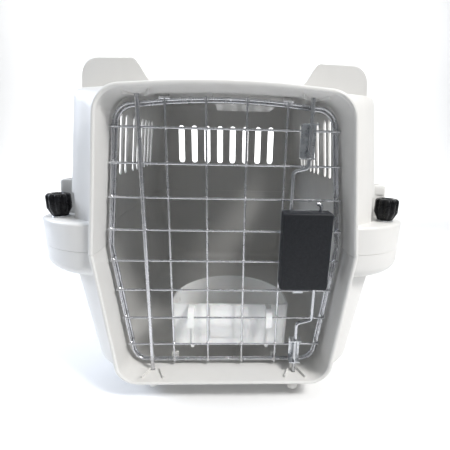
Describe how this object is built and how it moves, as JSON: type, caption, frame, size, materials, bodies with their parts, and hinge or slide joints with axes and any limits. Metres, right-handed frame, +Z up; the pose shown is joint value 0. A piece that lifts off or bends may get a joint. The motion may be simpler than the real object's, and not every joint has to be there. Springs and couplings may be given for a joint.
{
  "type": "pet kennel",
  "caption": "Plastic pet kennel in an upper and a lower shell, with a hinged wire door, a sprung rod latch, a clip-on bowl, thumb knobs at the seam and a folding roof handle.",
  "frame": {"origin": "centre of the footprint, on the ground", "axes": "+Z up, -Y the wire door, +X the latch side seen from the door"},
  "size_m": [0.406, 0.533, 0.381],
  "materials": {
    "shell_plastic": "fine moulded grain",
    "handle_plastic": "moulded",
    "black_plastic": "gloss",
    "latch_plastic": "grained matt",
    "bowl_plastic": "satin",
    "plated_wire": "bright plated",
    "steel": "zinc plated"
  },
  "bodies": {
    "shells": {"bolt_front_left": "steel", "bolt_front_right": "steel", "bolt_rear_left": "steel", "bolt_rear_right": "steel", "handle_pin_front": "steel", "handle_pin_rear": "steel", "lower_shell": "shell_plastic", "upper_shell": "shell_plastic", "washer_front_left": "steel", "washer_front_right": "steel", "washer_rear_left": "steel", "washer_rear_right": "steel"},
    "door": {"back_loop": "plated_wire", "front_loop": "plated_wire", "hinge_rod": "plated_wire", "horizontal_wire_1": "plated_wire", "horizontal_wire_2": "plated_wire", "horizontal_wire_3": "plated_wire", "horizontal_wire_4": "plated_wire", "horizontal_wire_5": "plated_wire", "horizontal_wire_6": "plated_wire", "horizontal_wire_7": "plated_wire", "horizontal_wire_8": "plated_wire", "latch_back_plate": "steel", "latch_clamp_lower": "steel", "latch_clamp_upper": "steel", "latch_cover": "latch_plastic", "latch_screw_lower": "steel", "latch_screw_upper": "steel", "lower_rod_guide": "steel", "lower_spring": "steel", "side_wire_left": "plated_wire", "side_wire_right": "plated_wire", "upper_rod_guide": "steel", "upper_spring": "steel", "vertical_wire_1": "plated_wire", "vertical_wire_2": "plated_wire", "vertical_wire_3": "plated_wire", "vertical_wire_4": "plated_wire"},
    "upper_latch": {"upper_rod": "plated_wire", "upper_slide": "latch_plastic"},
    "lower_latch": {"lower_rod": "plated_wire", "lower_slide": "latch_plastic"},
    "bowl": {"bowl": "bowl_plastic"},
    "handle": {"carry_handle": "handle_plastic"},
    "knob_front_left": {"knob_front_left": "black_plastic"},
    "knob_front_right": {"knob_front_right": "black_plastic"},
    "knob_rear_left": {"knob_rear_left": "black_plastic"},
    "knob_rear_right": {"knob_rear_right": "black_plastic"}
  },
  "joints": [
    {"name": "door_swing", "type": "hinge", "parent": "shells", "child": "door", "pos_m": [-0.087, -0.2403, 0.17], "axis": [0, 0, -1], "range_deg": [0, 100]},
    {"name": "upper_rod_slide", "type": "slide", "parent": "door", "child": "upper_latch", "axis": [0, 0, 1], "range_m": [-0.004, 0.006], "stiffness_N_per_m": 300, "springref_m": 0.006, "deforming": ["upper_spring"]},
    {"name": "lower_rod_slide", "type": "slide", "parent": "door", "child": "lower_latch", "axis": [0, 0, -1], "range_m": [-0.004, 0.006], "stiffness_N_per_m": 300, "springref_m": 0.006, "deforming": ["lower_spring"]},
    {"name": "bowl_lift", "type": "slide", "parent": "door", "child": "bowl", "axis": [0, 0, 1], "range_m": [0, 0.018]},
    {"name": "handle_fold", "type": "hinge", "parent": "shells", "child": "handle", "pos_m": [0, 0, 0.366], "axis": [0, -1, 0], "range_deg": [0, 90]},
    {"name": "knob_front_left_turn", "type": "hinge", "parent": "shells", "child": "knob_front_left", "pos_m": [-0.1817, -0.2215, 0.225], "axis": [0, 0, 1], "continuous": true},
    {"name": "knob_rear_left_turn", "type": "hinge", "parent": "shells", "child": "knob_rear_left", "pos_m": [-0.1817, 0.2215, 0.225], "axis": [0, 0, 1], "continuous": true},
    {"name": "knob_front_right_turn", "type": "hinge", "parent": "shells", "child": "knob_front_right", "pos_m": [0.1817, -0.2215, 0.225], "axis": [0, 0, 1], "continuous": true},
    {"name": "knob_rear_right_turn", "type": "hinge", "parent": "shells", "child": "knob_rear_right", "pos_m": [0.1817, 0.2215, 0.225], "axis": [0, 0, 1], "continuous": true}
  ],
  "couplings": [
    {"joint": "lower_rod_slide", "follows": "upper_rod_slide", "ratio": 1}
  ]
}
